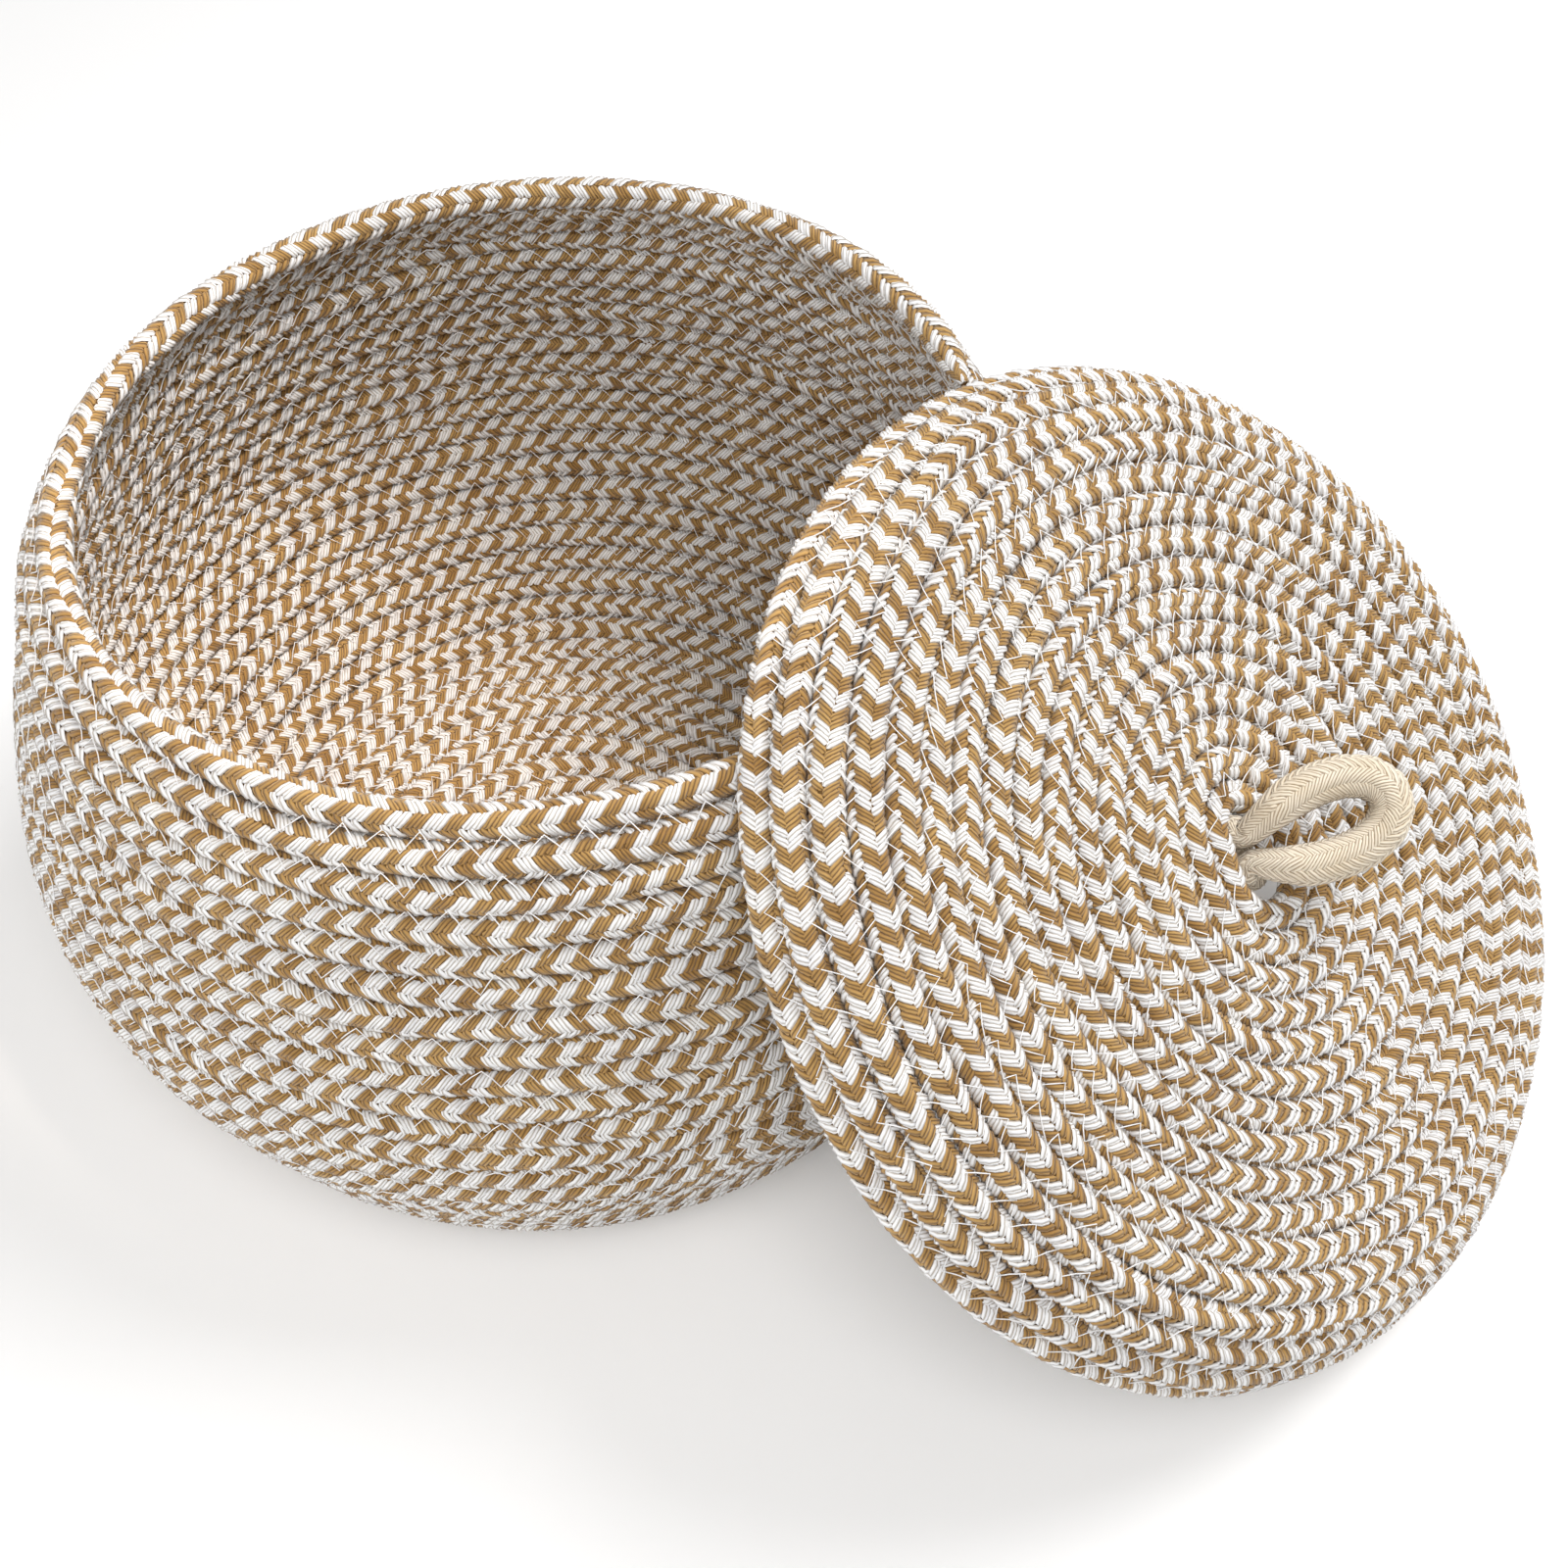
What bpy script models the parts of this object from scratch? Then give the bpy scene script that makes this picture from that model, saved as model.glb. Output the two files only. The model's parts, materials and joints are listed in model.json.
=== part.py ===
# A coiled rope basket for knitting, with a domed rope lid leaning on its rim.
# Every coil is one rope that winds outwards row by row, and the lid has a cord loop.
# Lengths are in metres, +Z is up, and the origin is under the rope's start in the floor.

import math

import bmesh
import bpy
from mathutils import Matrix, Vector
from mathutils.bvhtree import BVHTree
from mathutils.kdtree import KDTree

mm = 0.001

# Rope and rows
rope_diameter = 7.15 * mm
row_gap = 0.85 * mm
rope_sides = 6
points_per_half_turn = 7
seat_gap = 0.3 * mm
standing_cut = rope_diameter / 10

# Basket wall, from the rim down to the floor
rim_radius = 105.4 * mm
wall_rows = 23
upper_wall_rows = 12
wall_row_shares = (0.0, 0.043, 0.13, 0.264, 0.388, 0.522, 0.656, 0.78, 0.914, 1.0)
wall_lean_degrees = (34.6, 34.6, 15.3, 17.0, 12.7, 2.2, -21.5, -19.0, -41.4, -88.4)
rim_shift_x = 2.6 * mm
rim_shift_y = 8.7 * mm
rim_oval_size = 3.3 * mm
rim_long_axis_degrees = 19
rim_shift_power = 1.85
basket_turn_degrees = 45

# Lid
lid_radius = 127.3 * mm
lid_edge_rows = 5
lid_edge_degrees = (80, 62, 42, 22, 6)
lid_tilt_degrees = 43.45
lid_bearing_degrees = -27.9
lid_side_shift = 14.1 * mm
lid_oval_share = 0.038
lid_long_axis_degrees = 41

# Handle cord
cord_diameter = 9.3 * mm
cord_sides = 8
leg_gap = 0.5 * mm
loop_length = 42 * mm
loop_width = 28.5 * mm
loop_lean_degrees = 48.0
loop_bearing_degrees = 147.2
loop_leg_points = 6
loop_bow_points = 10
loop_end_degrees = (75, 45, 15)
knot_diameter = 24 * mm
knot_depth = 11 * mm
knot_rings = 8
knot_sides = 16

# Surfaces
rope_colour = (0.72, 0.62, 0.46)
cord_colour = (0.82, 0.72, 0.56)
fabric_roughness = 0.9
crease_degrees = 50

# Working figures
profile_steps_per_row = 16
fewest_half_turns = 2
oval_remainder_share = 0.5
coarse_step = rope_diameter / 8
closest_points = rope_diameter / 4
fine_step = seat_gap / 100
whole_turn_margin = 1e-9

row_pitch = rope_diameter + row_gap
rope_radius = rope_diameter / 2
cord_radius = cord_diameter / 2
floor_rope_height = rope_radius - standing_cut
corner_reach = (1 + 1 / math.cos(math.pi / 2 / points_per_half_turn)) / 2


def remove_everything():
    for item in list(bpy.data.objects):
        bpy.data.objects.remove(item, do_unlink=True)


def material(name, colour, roughness):
    made = bpy.data.materials.new(name)
    made.use_nodes = True
    shader = made.node_tree.nodes["Principled BSDF"]
    shader.inputs["Base Color"].default_value = (*colour, 1.0)
    shader.inputs["Roughness"].default_value = roughness
    shader.inputs["Metallic"].default_value = 0.0
    made.diffuse_color = (*colour, 1.0)
    return made


def blend_table(x, xs, ys):
    """Straight-line reading of a small table."""
    if x <= xs[0]:
        return ys[0]
    for x0, x1, y0, y1 in zip(xs, xs[1:], ys, ys[1:]):
        if x <= x1:
            return y0 + (y1 - y0) * (x - x0) / (x1 - x0)
    return ys[-1]


def eased(half_turns):
    """Rows climb in half turns, each of them level where it starts and where it ends."""
    whole = math.floor(half_turns + whole_turn_margin)
    return whole + (1 - math.cos(math.pi * (half_turns - whole))) / 2


class Profile:
    """Radius, height and outward direction along a line from the edge of a shell inwards."""

    def __init__(self, edge_radius, length, lean_at):
        self.step = row_pitch / profile_steps_per_row
        self.points = [(edge_radius, 0.0)]
        self.leans = [lean_at(0.0)]
        distance = 0.0
        while distance < length + 2 * row_pitch:
            lean = math.radians(lean_at(distance + self.step / 2))
            radius, height = self.points[-1]
            self.points.append((radius + self.step * math.sin(lean), height - self.step * math.cos(lean)))
            distance += self.step
            self.leans.append(lean_at(distance))

    def at(self, distance):
        place = max(0.0, distance / self.step)
        low = min(int(place), len(self.points) - 2)
        share = place - low
        radius = self.points[low][0] * (1 - share) + self.points[low + 1][0] * share
        height = self.points[low][1] * (1 - share) + self.points[low + 1][1] * share
        lean = math.radians(self.leans[low] * (1 - share) + self.leans[low + 1] * share)
        return radius, height, Vector((math.cos(lean), math.sin(lean)))


def half_turn_plan(outer_radius, first_radius, first_straight):
    """Number and step of the half turns that fill a disc, starting as a short oval.

    The oval's straight sides shorten row by row, so the rows across its ends stay a pitch apart.
    """
    across = outer_radius - first_radius
    count = int(across / (row_pitch / 2))
    while count > fewest_half_turns:
        if across / (count + oval_remainder_share) >= row_pitch / 2 + first_straight / 2 / count:
            break
        count -= 1
    return count, across / (count + oval_remainder_share)


def oval_spiral(count, step, first_radius, first_straight):
    """Flat points of half turns round two centres, with the straight sides between them."""
    half = first_straight / 2
    points = [Vector((first_radius, -half))]
    for turn in range(count + 1):
        side = 1 if turn % 2 == 0 else -1
        centre_x = 0.0 if turn % 2 == 0 else step
        reach = half * (1 - turn / (count + 1))
        radius = first_radius + step * turn
        for corner in range(points_per_half_turn + (1 if turn == count else 0)):
            angle = math.pi * corner / points_per_half_turn
            across = radius * math.cos(angle) * side
            points.append(Vector((centre_x + across, side * (reach + radius * math.sin(angle)))))
        points.append(Vector((centre_x - side * radius, side * reach)))
    points.pop()
    middle = Vector((step / 2, 0.0))
    return [point - middle for point in points]


class Route:
    """Centre points of a rope with the direction that faces out of the shell at each."""

    def __init__(self):
        self.points = []
        self.normals = []

    def add(self, point, normal):
        if self.points and (point - self.points[-1]).length < closest_points:
            return
        self.add_always(point, normal)

    def add_always(self, point, normal):
        self.points.append(point)
        self.normals.append(normal.normalized())

    def round_out(self):
        """Sets the corners as far outside the true curve as the flats between them lie inside."""
        for point in self.points:
            point.x *= corner_reach
            point.y *= corner_reach


def stretch(route, first, last):
    """Part of a route from one seam to the next, or to its own ends where a seam is None.

    A seam lies halfway along a straight side, where the two neighbours stop square to each other.
    """
    start = 0 if first is None else first + 1
    stop = len(route.points) if last is None else last + 1
    part = Route()
    part.points = route.points[start:stop]
    part.normals = route.normals[start:stop]
    if first is not None:
        side = route.points[start] - route.points[first]
        part.points.insert(0, route.points[first] + side / 2 + side.normalized() * seat_gap / 2)
        part.normals.insert(0, route.normals[first])
    if last is not None:
        side = route.points[stop] - route.points[last]
        part.points.append(route.points[last] + side / 2 - side.normalized() * seat_gap / 2)
        part.normals.append(route.normals[last])
    return part


def tube_mesh(route, radii, sides, lowest=None):
    """One closed tube along a route, with a corner of each ring towards the next row."""
    mesh = bmesh.new()
    rings = []
    points = route.points
    for index, point in enumerate(points):
        radius = radii[index]
        before = points[max(index - 1, 0)]
        after = points[min(index + 1, len(points) - 1)]
        along = (after - before).normalized()
        across = along.cross(route.normals[index]).normalized()
        out = across.cross(along).normalized()
        ring = []
        for side in range(sides):
            angle = 2 * math.pi * side / sides
            corner = point + (across * math.cos(angle) + out * math.sin(angle)) * radius
            if lowest is not None:
                corner.z = max(corner.z, lowest)
            ring.append(mesh.verts.new(corner))
        rings.append(ring)
    for low, high in zip(rings, rings[1:]):
        for side in range(sides):
            following = (side + 1) % sides
            mesh.faces.new((low[side], low[following], high[following], high[side]))
    mesh.faces.new(list(reversed(rings[0])))
    mesh.faces.new(rings[-1])
    bmesh.ops.recalc_face_normals(mesh, faces=mesh.faces)
    if mesh.calc_volume(signed=True) < 0:
        bmesh.ops.reverse_faces(mesh, faces=mesh.faces)
    return mesh


def finish(name, mesh, surface, origin):
    """An object with its origin where the piece turns or starts, and its mesh placed from there."""
    data = bpy.data.meshes.new(name)
    bmesh.ops.translate(mesh, verts=mesh.verts, vec=-origin)
    mesh.to_mesh(data)
    mesh.free()
    data.materials.append(surface)
    data.shade_smooth()
    data.set_sharp_from_angle(angle=math.radians(crease_degrees))
    made = bpy.data.objects.new(name, data)
    made.location = origin
    bpy.context.scene.collection.objects.link(made)
    return made


def rope_coil(name, route, surface, origin, lowest=None):
    radii = [rope_radius] * len(route.points)
    return finish(name, tube_mesh(route, radii, rope_sides, lowest), surface, origin)


# Basket coil

def wall_lean(distance):
    """The wall's lean from upright, out or in, read down from the rim."""
    return blend_table(distance / (wall_rows * row_pitch), wall_row_shares, wall_lean_degrees)


def winding():
    """Mirrors the basket's plan, so that it winds clockwise, and then turns it."""
    return Matrix.Rotation(math.radians(basket_turn_degrees), 3, "Z") @ Matrix.Diagonal((1, -1, 1))


def basket_route():
    """Floor spiral from the centre, then the wall up to the rim, in one rope."""
    wall_length = wall_rows * row_pitch
    profile = Profile(rim_radius, wall_length, wall_lean)
    base_radius, base_height = profile.at(wall_length)[:2]
    count, step = half_turn_plan(base_radius, row_pitch / 2, rope_diameter)
    route = Route()
    for flat in oval_spiral(count, step, row_pitch / 2, rope_diameter):
        route.add(Vector((flat.x, flat.y, floor_rope_height)), Vector((0, 0, 1)))
    floor_end = len(route.points) - 1
    seam = floor_end
    spin = winding()
    shift = spin.transposed() @ Vector((rim_shift_x, rim_shift_y, 0))
    long_axis = math.radians(basket_turn_degrees - rim_long_axis_degrees)
    corners = 2 * wall_rows * points_per_half_turn
    for corner in range(1, corners + 1):
        half_turns = corner / points_per_half_turn
        distance = wall_length - eased(half_turns) * row_pitch / 2
        angle = math.pi * (count + 1 + half_turns)
        radius, height, out = profile.at(distance)
        rise = max(0.0, 1 - distance / wall_length) ** rim_shift_power
        radius += rise * rim_oval_size * math.cos(2 * (long_axis - angle))
        height += floor_rope_height - base_height
        place = Vector((radius * math.cos(angle), radius * math.sin(angle), height)) + shift * rise
        route.add(place, Vector((out.x * math.cos(angle), out.x * math.sin(angle), out.y)))
        if half_turns <= 2 * (wall_rows - upper_wall_rows):
            seam = len(route.points) - 1
    route.round_out()
    return route, floor_end, seam


def wind(route):
    """Winds the route clockwise from above, turns it, and moves its start over the origin."""
    spin = winding()
    start = spin @ ((route.points[0] + route.points[1]) / 2)
    start.z = 0
    route.points = [spin @ point - start for point in route.points]
    route.normals = [spin @ normal for normal in route.normals]
    return start


def build_basket(rope):
    route, floor_end, seam = basket_route()
    start = wind(route)
    floor = stretch(route, None, floor_end)
    lower = stretch(route, floor_end, seam)
    upper = stretch(route, seam, None)
    base = Vector((0, 0, 0))
    rope_coil("basket_floor_coil", floor, rope, base, 0.0)
    rope_coil("basket_wall_lower_coil", lower, rope, base, 0.0)
    rope_coil("basket_wall_upper_coil", upper, rope, base)
    rim_middle = Vector((rim_shift_x - start.x, rim_shift_y - start.y, 0))
    return [floor, lower, upper], rim_middle


# Lid coil

def lid_lean(distance):
    """Steep at the open edge, then rounding over to the nearly flat crown."""
    row = distance / row_pitch
    if row < lid_edge_rows:
        rows = [index + 0.5 for index in range(lid_edge_rows)]
        return -90 + blend_table(row, rows, lid_edge_degrees)
    return -90


def lid_route():
    """Crown spiral round the cord's slot, then the edge rows, in the lid's own frame.

    The lid's own frame has its origin at the slot, +Z out of the crown and +Y along the slot.
    """
    slot_radius = cord_radius + seat_gap + rope_radius
    slot_straight = cord_diameter + leg_gap
    edge_length = lid_edge_rows * row_pitch
    profile = Profile(lid_radius, edge_length, lid_lean)
    crown_radius, edge_height = profile.at(edge_length)[:2]
    count, step = half_turn_plan(crown_radius, slot_radius, slot_straight)
    route = Route()
    flats = oval_spiral(count, step, slot_radius, slot_straight)
    for flat in flats:
        route.add(Vector((flat.x, flat.y, 0)), Vector((0, 0, 1)))
    crown_end = len(route.points) - 1
    for corner in range(1, 2 * lid_edge_rows * points_per_half_turn + 1):
        half_turns = corner / points_per_half_turn
        distance = edge_length - eased(half_turns) * row_pitch / 2
        radius, height, out = profile.at(distance)
        angle = math.pi * (count + 1 + half_turns)
        place = Vector((radius * math.cos(angle), radius * math.sin(angle), 0))
        place.z = edge_height - height
        facing = Vector((out.x * math.cos(angle), out.x * math.sin(angle), -out.y))
        route.add(place, facing)
    long_axis = math.radians(lid_long_axis_degrees - loop_bearing_degrees + 90)
    for point in route.points:
        radius = math.hypot(point.x, point.y)
        away = math.atan2(point.y, point.x) - long_axis
        swell = 1 + max(0.0, 1 - slot_radius / radius) * lid_oval_share * math.cos(2 * away)
        point.x *= swell
        point.y *= swell
    route.round_out()
    for point in route.points:
        point.x += step / 2 * corner_reach
    return route, crown_end


def lid_turn():
    """The lid's own axes in the world: the loop's leaning side, the slot and the crown's outside."""
    tilt = math.radians(lid_tilt_degrees)
    bearing = math.radians(lid_bearing_degrees)
    out = Vector((math.sin(tilt) * math.cos(bearing), math.sin(tilt) * math.sin(bearing), math.cos(tilt)))
    down = Vector((math.cos(tilt) * math.cos(bearing), math.cos(tilt) * math.sin(bearing), -math.sin(tilt)))
    level = out.cross(down)
    loop_bearing = math.radians(loop_bearing_degrees)
    slot = down * math.cos(loop_bearing) + level * math.sin(loop_bearing)
    return Matrix((slot.cross(out), slot, out)).transposed(), level


def tube_tree(route, radius, sides):
    mesh = tube_mesh(route, [radius] * len(route.points), sides)
    tree = BVHTree.FromBMesh(mesh)
    mesh.free()
    return tree


def moved(route, turn, place):
    made = Route()
    made.points = [turn @ point + place for point in route.points]
    made.normals = [turn @ normal for normal in route.normals]
    return made


def lid_place(route, turn, level, basket, rim_middle):
    """Where the lid stands on the floor with its underside on the rim, hooked over it.

    It comes in from over the rim's middle and moves out until it is clear of the wall.
    """
    tilt = math.radians(lid_tilt_degrees)
    bearing = math.radians(lid_bearing_degrees)
    away = Vector((math.cos(bearing), math.sin(bearing), 0))
    height = floor_rope_height - min((turn @ point).z for point in route.points)
    walls = [tube_tree(part, rope_radius, rope_sides) for part in basket]

    def at(distance):
        place = rim_middle + away * distance + level * lid_side_shift
        place.z = height
        return place

    def touches(distance):
        lid = tube_tree(moved(route, turn, at(distance)), rope_radius, rope_sides)
        return any(wall.overlap(lid) for wall in walls)

    distance = rim_radius
    while touches(distance):
        distance += coarse_step
    low = distance - coarse_step
    while distance - low > fine_step:
        middle = (low + distance) / 2
        if touches(middle):
            low = middle
        else:
            distance = middle
    print("lid's middle from the rim's middle", round(distance / mm, 2), "mm")
    return at(distance + seat_gap / math.sin(tilt))


# Handle

def loop_route():
    """The cord's loop standing straight up over its pivot, legs side by side along Y."""
    leg_y = cord_radius + leg_gap / 2
    bow_radius = (loop_width - cord_diameter) / 2
    bow_height = loop_length - seat_gap - cord_diameter - bow_radius
    straight = cord_diameter
    route = Route()
    radii = []
    for degrees in loop_end_degrees:
        angle = math.radians(degrees)
        route.add_always(Vector((0, -leg_y, -cord_radius * math.sin(angle))), Vector((1, 0, 0)))
        radii.append(cord_radius * math.cos(angle))
    side = [Vector((0, -leg_y, 0)), Vector((0, -leg_y, straight))]
    for step in range(1, loop_leg_points):
        share = step / loop_leg_points
        swing = (1 - math.cos(math.pi * share)) / 2
        side.append(Vector((0, -leg_y - (bow_radius - leg_y) * swing, straight + (bow_height - straight) * share)))
    bow = []
    for step in range(loop_bow_points + 1):
        angle = math.pi * step / loop_bow_points
        bow.append(Vector((0, -bow_radius * math.cos(angle), bow_height + bow_radius * math.sin(angle))))
    other = [Vector((0, -point.y, point.z)) for point in reversed(side)]
    for point in side + bow + other:
        route.add_always(point, Vector((1, 0, 0)))
        radii.append(cord_radius)
    for degrees in reversed(loop_end_degrees):
        angle = math.radians(degrees)
        route.add_always(Vector((0, leg_y, -cord_radius * math.sin(angle))), Vector((1, 0, 0)))
        radii.append(cord_radius * math.cos(angle))
    return route, radii


def build_handle(cord, turn, lid_centre):
    pivot_height = rope_radius + seat_gap + cord_radius
    pivot = turn @ Vector((0, 0, pivot_height)) + lid_centre
    route, radii = loop_route()
    lean = turn @ Matrix.Rotation(math.radians(loop_lean_degrees), 3, "Y")
    loop = tube_mesh(moved(route, lean, pivot), radii, cord_sides)
    finish("handle_loop", loop, cord, pivot)
    build_stem(cord, turn, lid_centre)
    return pivot


def build_stem(cord, turn, lid_centre):
    """The cord's two ends go down through the slot and are knotted under the crown."""
    knot_height = -(rope_radius + seat_gap + knot_depth / 2)
    knot = bmesh.new()
    bmesh.ops.create_uvsphere(knot, u_segments=knot_sides, v_segments=knot_rings, radius=1)
    shape = Matrix.Diagonal((knot_diameter / 2, knot_diameter / 2, knot_depth / 2, 1))
    place = Matrix.Translation(lid_centre) @ turn.to_4x4() @ Matrix.Translation((0, 0, knot_height))
    bmesh.ops.transform(knot, matrix=place @ shape, verts=knot.verts)
    stem = finish("handle_stem_knot", knot, cord, lid_centre)
    for side in (-1, 1):
        leg = Route()
        for height in (knot_height, rope_radius):
            leg.add(Vector((0, side * (cord_radius + leg_gap / 2), height)), Vector((1, 0, 0)))
        mesh = tube_mesh(moved(leg, turn, lid_centre), [cord_radius] * 2, cord_sides)
        guide = finish("stem_leg_guide", mesh, cord, lid_centre)
        guide.hide_render = True
        guide.display_type = "WIRE"
        union = stem.modifiers.new("leg", "BOOLEAN")
        union.operation = "UNION"
        union.object = guide


def least_gap(route, diameter):
    """Least gap between a coil's own rows, on its rings and halfway between them."""
    points = [route.points[0]]
    for low, high in zip(route.points, route.points[1:]):
        points += [(low + high) / 2, high]
    tree = KDTree(len(points))
    for number, point in enumerate(points):
        tree.insert(point, number)
    tree.balance()
    gaps = []
    for number, point in enumerate(points):
        for found in tree.find_range(point, diameter * 2):
            if abs(found[1] - number) > 2 * points_per_half_turn:
                gaps.append(found[2] - diameter)
    return min(gaps)


def main():
    remove_everything()
    rope = material("woven_rope", rope_colour, fabric_roughness)
    cord = material("cotton_cord", cord_colour, fabric_roughness)
    basket, rim_middle = build_basket(rope)
    lid, crown_end = lid_route()
    turn, level = lid_turn()
    centre = lid_place(lid, turn, level, basket, rim_middle)
    world = moved(lid, turn, centre)
    crown = stretch(world, None, crown_end)
    edge = stretch(world, crown_end, None)
    rope_coil("lid_crown_coil", crown, rope, centre)
    rope_coil("lid_edge_coil", edge, rope, centre, 0.0)
    pivot = build_handle(cord, turn, centre)
    coils = dict(zip(("floor", "lower wall", "upper wall", "crown", "edge"), basket + [crown, edge]))
    for name, route in coils.items():
        print(name, "least gap to itself", round(least_gap(route, rope_diameter) / mm, 3), "mm")
    print("rim middle", [round(value / mm, 2) for value in rim_middle])
    print("lid centre", [round(value / mm, 2) for value in centre])
    print("loop pivot", [round(value / mm, 2) for value in pivot])
    print("slot direction", [round(value, 4) for value in turn.col[1]])


main()
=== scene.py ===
import json
import math

import bpy
import numpy as np
from mathutils import Matrix, Vector


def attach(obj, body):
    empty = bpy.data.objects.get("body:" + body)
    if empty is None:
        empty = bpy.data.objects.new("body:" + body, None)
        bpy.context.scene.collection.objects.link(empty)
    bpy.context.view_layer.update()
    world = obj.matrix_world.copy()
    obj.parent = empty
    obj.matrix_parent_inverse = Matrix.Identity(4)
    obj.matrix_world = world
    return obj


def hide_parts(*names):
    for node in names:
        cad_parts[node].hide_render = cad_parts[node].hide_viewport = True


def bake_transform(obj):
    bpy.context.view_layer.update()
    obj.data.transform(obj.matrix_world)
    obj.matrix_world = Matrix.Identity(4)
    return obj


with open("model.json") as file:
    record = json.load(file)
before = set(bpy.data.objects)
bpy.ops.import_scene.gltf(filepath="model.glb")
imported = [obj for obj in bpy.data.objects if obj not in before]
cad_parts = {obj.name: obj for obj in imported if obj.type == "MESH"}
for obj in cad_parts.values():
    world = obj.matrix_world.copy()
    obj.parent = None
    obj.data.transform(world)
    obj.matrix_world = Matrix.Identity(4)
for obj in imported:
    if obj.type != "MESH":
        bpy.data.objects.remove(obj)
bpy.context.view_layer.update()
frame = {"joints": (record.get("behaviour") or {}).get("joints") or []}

mm = 0.001
scene = bpy.context.scene


# rows and routes

rows = {
    "pitch": 8.0 * mm,
    "solidRadius": 3.575 * mm,    # the CAD rope; the dressed one is a little plumper
    "standingHeight": 2.86 * mm,
    "pointsPerHalfTurn": 40,
    "joinShare": 0.03,            # of a half turn, at each side of a change of centre
    "profileStep": 0.25 * mm,
    "leastStretch": 0.01,         # half turns, so that no stretch is empty
    "wobble": 0.22 * mm,
    "wobblePoints": 30,           # route points from one bump to the next
}
basket = {
    "middle": (-1.36 * mm, -1.36 * mm),
    "rimRadius": 105.4 * mm,
    "wallRows": 23,
    "upperRows": 12,
    "leanShares": (0.0, 0.043, 0.13, 0.264, 0.388, 0.522, 0.656, 0.78, 0.914, 1.0),
    "leanDegrees": (34.6, 34.6, 15.3, 17.0, 12.7, 2.2, -21.5, -19.0, -41.4, -88.4),
    "rimShift": (2.6 * mm, 8.7 * mm),
    "ovalSize": 3.3 * mm,
    "longAxisDegrees": 19,
    "shiftPower": 1.85,
    "turnDegrees": 45,
    "overlap": 0.175,             # half turns by which the rope's end runs on under the lid
    "wobbleSeed": 4,
}
lid = {
    "radius": 127.3 * mm,
    "edgeRows": 5,
    "edgeDegrees": (80, 62, 42, 22, 6),
    "tiltDegrees": 43.45,
    "bearingDegrees": -27.9,
    "loopBearingDegrees": 147.2,
    "ovalShare": 0.038,
    "longAxisDegrees": 41,
    "slotStart": 8.525 * mm,      # middle of the rope's first bend beside the cord
    "slotLength": 9.8 * mm,
    "overlap": 0.0,
    "wobbleSeed": 5,
}
handle = {
    "pivotHeight": 8.525 * mm,
    "leanDegrees": 48.0,
    "legSpread": 4.9 * mm,        # in the slot, from its middle
    "rootSpread": 3.2 * mm,       # the legs are squeezed together where they leave the slot
    "squeezeParts": 3,            # they spread again over one of these parts of the slot's depth
    "surfaceHeight": 2.5 * mm,
    "rootPower": 1.5,
    "straight": 4.0 * mm,
    "bowRadius": 10.8 * mm,
    "bowHeight": 23.5 * mm,
    "spreadPower": 0.9,
    "bowShift": 2.4 * mm,
    "shiftPower": 1.3,
    "pinchShare": 0.62,           # of the cord's size, where the legs leave the slot
    "plumpAgainShare": 0.4,       # of the way from there to the bow
    "bendFrom": 3.0 * mm,         # above the lid's middle, where the cord starts to bend with the loop
    "bendTo": 9.0 * mm,           # above the pivot, where it has turned as far as the loop
    "legPoints": 14,
    "bowPoints": 24,
    "linePoints": 160,
    "smoothings": 4,
}

swing = [joint for joint in frame["joints"] if joint["name"] == "handle_swing"][0]
pivot = Vector(swing["pos_m"])
slotDirection = Vector(swing["axis"]).normalized()
tilt = math.radians(lid["tiltDegrees"])
bearing = math.radians(lid["bearingDegrees"])
crownOut = Vector((math.sin(tilt) * math.cos(bearing), math.sin(tilt) * math.sin(bearing), math.cos(tilt)))
lidTurn = Matrix((slotDirection.cross(crownOut), slotDirection, crownOut)).transposed()
lidCentre = pivot - crownOut * handle["pivotHeight"]


def shellProfile(edgeRadius, length, leanAt):
    # radius, height and lean along a line from the edge inwards, and two rows further
    step = rows["profileStep"]
    count = int(length / step) + int(2 * rows["pitch"] / step)
    distance = np.arange(count + 1) * step
    lean = np.radians(leanAt(distance + step / 2))
    radius = edgeRadius + np.concatenate([[0], np.cumsum(np.sin(lean[:-1]) * step)])
    height = -np.concatenate([[0], np.cumsum(np.cos(lean[:-1]) * step)])
    return distance, radius, height, np.radians(leanAt(distance))


def halfTurnPlan(outerRadius, firstRadius, firstStraight):
    # number and step of the half turns that fill a disc
    across = outerRadius - firstRadius
    count = int(across / (rows["pitch"] / 2))
    while across / (count + 0.5) < rows["pitch"] / 2 + firstStraight / 2 / count:
        count -= 1
    return count, across / (count + 0.5)


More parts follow.
